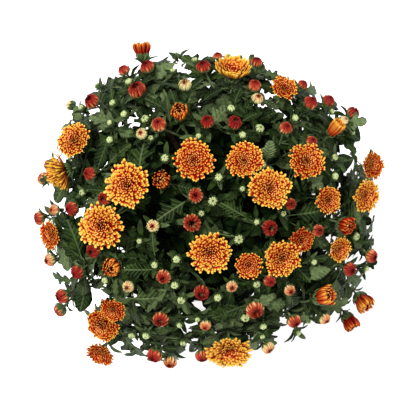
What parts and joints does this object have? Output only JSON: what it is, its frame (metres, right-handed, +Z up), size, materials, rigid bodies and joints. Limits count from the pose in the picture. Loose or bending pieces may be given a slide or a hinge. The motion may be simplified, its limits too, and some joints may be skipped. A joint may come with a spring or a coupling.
{
  "type": "pot chrysanthemum",
  "caption": "Bushy flowering plant in a plain tapered pot, with a dome of lobed leaves, dense double flowers and many buds.",
  "frame": {"origin": "centre of the underside of the pot's foot, on the vertical axis of the pot", "axes": "+Z up along the pot's axis, +Y towards the upper edge of the picture and +X to its right"},
  "size_m": [0.36, 0.3428, 0.3558],
  "materials": {
    "pot": "matte moulded plastic, terracotta brown",
    "soil": "crumbly dark potting soil with bark and peat",
    "foliage": "matte dark green living leaf, stem and bud",
    "petals": "soft golden orange petals with a deep red centre",
    "opening_petals": "soft brick red to orange petals, still cupped"
  },
  "bodies": {
    "root": {"pot": "pot", "soil": "soil", "leafy_stem_01": "foliage", "leafy_stem_02": "foliage", "leafy_stem_03": "foliage", "leafy_stem_04": "foliage", "leafy_stem_05": "foliage", "leafy_stem_06": "foliage", "leafy_stem_07": "foliage", "leafy_stem_08": "foliage", "leafy_stem_09": "foliage", "leafy_stem_10": "foliage", "leafy_stem_11": "foliage", "leafy_stem_12": "foliage", "leafy_stem_13": "foliage", "leafy_stem_14": "foliage", "leafy_stem_15": "foliage", "flower_01": "petals", "flower_02": "petals", "flower_03": "petals", "flower_04": "petals", "flower_05": "petals", "flower_06": "petals", "flower_07": "petals", "flower_08": "petals", "flower_09": "petals", "flower_10": "petals", "flower_11": "petals", "flower_12": "petals", "flower_13": "petals", "flower_14": "petals", "flower_15": "petals", "flower_16": "petals", "flower_17": "petals", "flower_18": "petals", "flower_19": "petals", "flower_20": "petals", "flower_21": "petals", "flower_22": "petals", "flower_23": "petals", "flower_24": "petals", "opening_flower_01": "opening_petals", "opening_flower_02": "opening_petals", "opening_flower_03": "opening_petals", "opening_flower_04": "opening_petals", "opening_flower_05": "opening_petals", "opening_flower_06": "opening_petals", "opening_flower_07": "opening_petals", "opening_flower_08": "opening_petals"}
  },
  "joints": []
}
